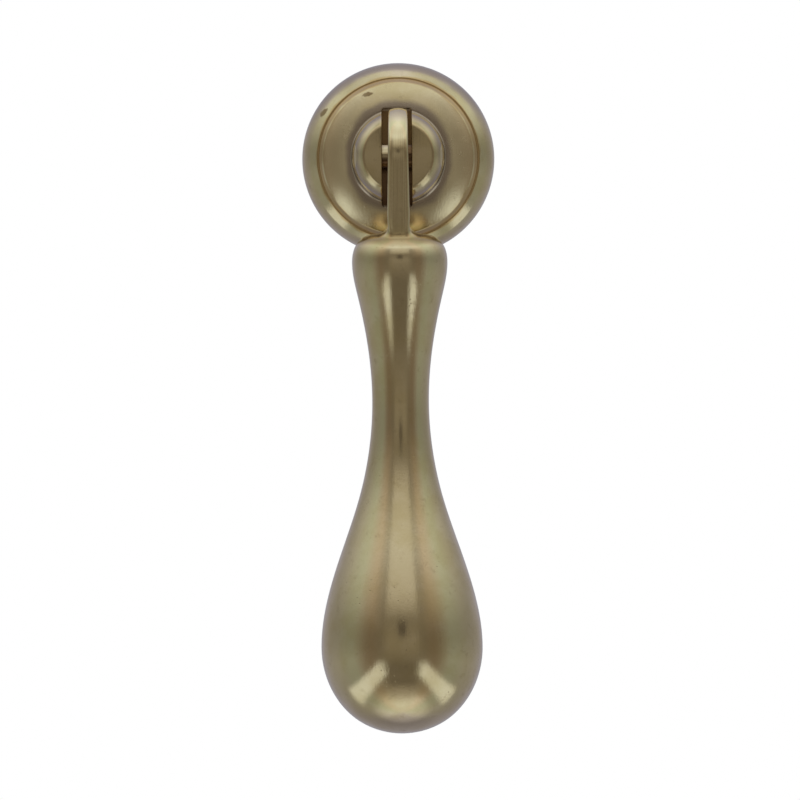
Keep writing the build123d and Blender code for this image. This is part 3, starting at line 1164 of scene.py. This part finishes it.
class HandleDropSizes(bpy.types.PropertyGroup):
    """Sizes of the drop, in millimetres."""

    tongue_thickness: size("Tongue thickness", "Thickness of the flat tongue", 2.6)
    tongue_shift: size("Tongue shift", "How far the tongue is left of the drop's axis", 0.12)
    tongue_taper: size("Tongue taper", "Share that the tongue thickens by in each millimetre of fall", 0.012)
    tongue_edge: size("Tongue edge", "Radius that eases the tongue's edge", 0.45)
    tongue_crown: size("Tongue crown", "Radius of the crown across the tongue's rim", 3.6)
    tongue_foot: size("Tongue foot", "Radius of the hollow where the tongue meets the head", 1.5)
    tongue_front: size("Tongue front", "How far the tongue's front is from the hinge line at the head", 4.3)
    tongue_corner_fall: size("Tongue front fall", "How far below the hinge that is measured", 13.4)
    tongue_back: size("Tongue back", "How far the tongue's back is from the hinge line", 3.7)
    eye_radius: size("Eye radius", "Radius of the tongue's round eye", 5.95)
    eye_hole_radius: size("Eye hole radius", "Radius of the hole in the eye", 1.55)
    head_fall: size("Head fall", "How far the head is below the hinge line", 9.6)
    head_flat: size("Head flat radius", "Radius of the flat on top of the head", 3.0)
    bulb_radius: size("Bulb radius", "Radius of the bulb at its widest", 9.95)
    drop_fall: size("Drop length", "How far the tip is below the hinge line", 71.25)


class HandleFinish(bpy.types.PropertyGroup):
    """The brass, its age, and its painted shade and light."""

    brass: tint("Brass", "Colour of clean brass", (0.705, 0.58, 0.375))
    deep_brass: tint("Deep brass", "Colour of the brass where it is less polished", (0.645, 0.52, 0.305))
    # Brown patina, also used as painted shade on the drop's head round the tongue's foot
    patina_and_painted_shade: tint("Patina", "Colour of the brown patina", (0.36, 0.26, 0.14))
    # Grey used as painted shade and reflection at the boss's side and foot, and as painted reflection on top
    # of the rim
    painted_grey_shade_and_reflection: tint("Grey patina", "Colour of the grey tarnish at the boss's foot", (0.33, 0.26, 0.23))
    # Brown of the wax in the groove, also used as painted light in the slot's upper half and as painted shade
    # at the tongue's foot
    wax_and_painted_shading: tint("Groove patina", "Colour of the wax in the groove round the dome", (0.5, 0.32, 0.13))
    # Brighter brass for painted highlights on the rose's dome and on the tongue's top
    painted_sheen_brass: tint("Rubbed brass", "Colour of the brass where it is rubbed bright", (0.82, 0.7, 0.46))
    # Dark brown of the chips, also used as painted shade in the slot and on the pin
    chip_dark_and_painted_shade: tint("Slot patina", "Colour of the old grease in the slot", (0.1, 0.044, 0.016))
    stain: number("Stains", "Strength of small stains", 0.3, min=0, max=1)
    bump: number("Unevenness", "Strength of pits and lines", 0.5, min=0)
    roughness: number("Roughness", "Roughness of the brass", 0.11, min=0)


class HandleStage(bpy.types.PropertyGroup):
    """Camera, floor and light."""

    lens: number("Lens", "Focal length in millimetres", 296.0, min=1)
    camera_place: bpy.props.FloatVectorProperty(
        name="Camera place",
        description="Where the camera stands",
        default=(0.000029, -0.8223, -0.03009),
        subtype="TRANSLATION",
    )
    camera_lean: number("Camera lean", "How far the camera leans", math.radians(0.35), subtype="ANGLE")
    floor_height: number("Floor height", "Height of the floor", -0.12, unit="LENGTH")
    floor_radius: number("Floor radius", "Radius of the floor", 0.25, unit="LENGTH")
    studio_light: number("Studio light", "Level of the light", 1.0, min=0)
    lamp_tint: tint("Lamp tint", "Colour of the brightest light", (0.91, 1.0, 1.0))
    dark_tint: tint("Dark tint", "Colour of the dark uprights", (0.12, 0.1, 0.08))
    darkest_tint: tint("Darkest tint", "Colour of the dark patch above the camera", (0.05, 0.04, 0.03))
    floor_colour: tint("Floor colour", "Colour of the floor", (0.86, 0.86, 0.85))


class MESH_OT_handle_drop(bpy.types.Operator):
    """Makes the drop with its tongue and round eye"""

    bl_idname = "mesh.handle_drop"
    bl_label = "Drop"

    def execute(self, context):
        mesh = mesh_from_grids("drop_turned", drop_grids(context.scene.handle_drop_sizes))
        shade(mesh)
        material = brass("drop_brass_finish", context.scene.handle_finish, "drop")
        add_piece(mesh, material, "drop", "drop")
        return {"FINISHED"}


class MESH_OT_handle_rose(bpy.types.Operator):
    """Makes the rose with its slotted boss and threaded hole"""

    bl_idname = "mesh.handle_rose"
    bl_label = "Rose"

    def execute(self, context):
        sizes = context.scene.handle_rose_sizes
        blank = mesh_from_grids("rose_turned", rose_grids(sizes))
        cutter = mesh_from_grids("cutter", ((cutter_grid(CUTTER_RADIUS, CUTTER_REACH, HINGE_DEPTH), True),))
        mesh = cut(blank, cutter)
        shade(mesh)
        material = brass("rose_brass_finish", context.scene.handle_finish, "rose")
        add_piece(mesh, material, "rose", "rose")
        return {"FINISHED"}


class MESH_OT_handle_pin(bpy.types.Operator):
    """Makes the hinge pin that the drop hangs on"""

    bl_idname = "mesh.handle_pin"
    bl_label = "Hinge pin"

    def execute(self, context):
        mesh = mesh_from_grids("pin_dressed", ((pin_grid(context.scene.handle_rose_sizes), True),))
        shade(mesh)
        material = brass("pin_brass_finish", context.scene.handle_finish, "pin")
        add_piece(mesh, material, "rose", "hinge_pin")
        return {"FINISHED"}


class SCENE_OT_handle_stage(bpy.types.Operator):
    """Sets up the camera, the floor and the studio light"""

    bl_idname = "scene.handle_stage"
    bl_label = "Stage"

    def execute(self, context):
        scene = context.scene
        stage = scene.handle_stage
        scene.view_settings.view_transform = "Standard"
        studio_world(scene, stage)
        studio_floor(stage)
        add_camera(scene, stage)
        return {"FINISHED"}


class VIEW3D_PT_handle(bpy.types.Panel):
    """Brass drop handle"""

    bl_idname = "VIEW3D_PT_handle"
    bl_label = "Brass Drop Handle"
    bl_space_type = "VIEW_3D"
    bl_region_type = "UI"
    bl_category = "Handle"

    def draw(self, context):
        for operator, group in STEPS:
            box = self.layout.box()
            box.operator(operator)
            settings = getattr(context.scene, group)
            for name in settings.bl_rna.properties.keys():
                if name not in ("rna_type", "name"):
                    box.prop(settings, name)


GROUPS = {
    "handle_rose_sizes": HandleRoseSizes,
    "handle_drop_sizes": HandleDropSizes,
    "handle_finish": HandleFinish,
    "handle_stage": HandleStage,
}
STEPS = (
    ("scene.handle_stage", "handle_stage"),
    ("mesh.handle_rose", "handle_rose_sizes"),
    ("mesh.handle_drop", "handle_drop_sizes"),
    ("mesh.handle_pin", "handle_finish"),
)
OPERATORS = (SCENE_OT_handle_stage, MESH_OT_handle_rose, MESH_OT_handle_drop, MESH_OT_handle_pin)


def register():
    """Registers the groups of settings, the operators and the panel."""
    for name, group in GROUPS.items():
        bpy.utils.register_class(group)
        setattr(bpy.types.Scene, name, bpy.props.PointerProperty(type=group))
    for kind in (*OPERATORS, VIEW3D_PT_handle):
        bpy.utils.register_class(kind)


def unregister():
    """Takes away what register added."""
    for kind in (VIEW3D_PT_handle, *reversed(OPERATORS)):
        bpy.utils.unregister_class(kind)
    for name, group in reversed(GROUPS.items()):
        delattr(bpy.types.Scene, name)
        bpy.utils.unregister_class(group)


def main():
    """Makes the stage and every piece."""
    register()
    bpy.ops.scene.handle_stage()
    bpy.ops.mesh.handle_rose()
    bpy.ops.mesh.handle_drop()
    bpy.ops.mesh.handle_pin()


if __name__ == "__main__":
    main()
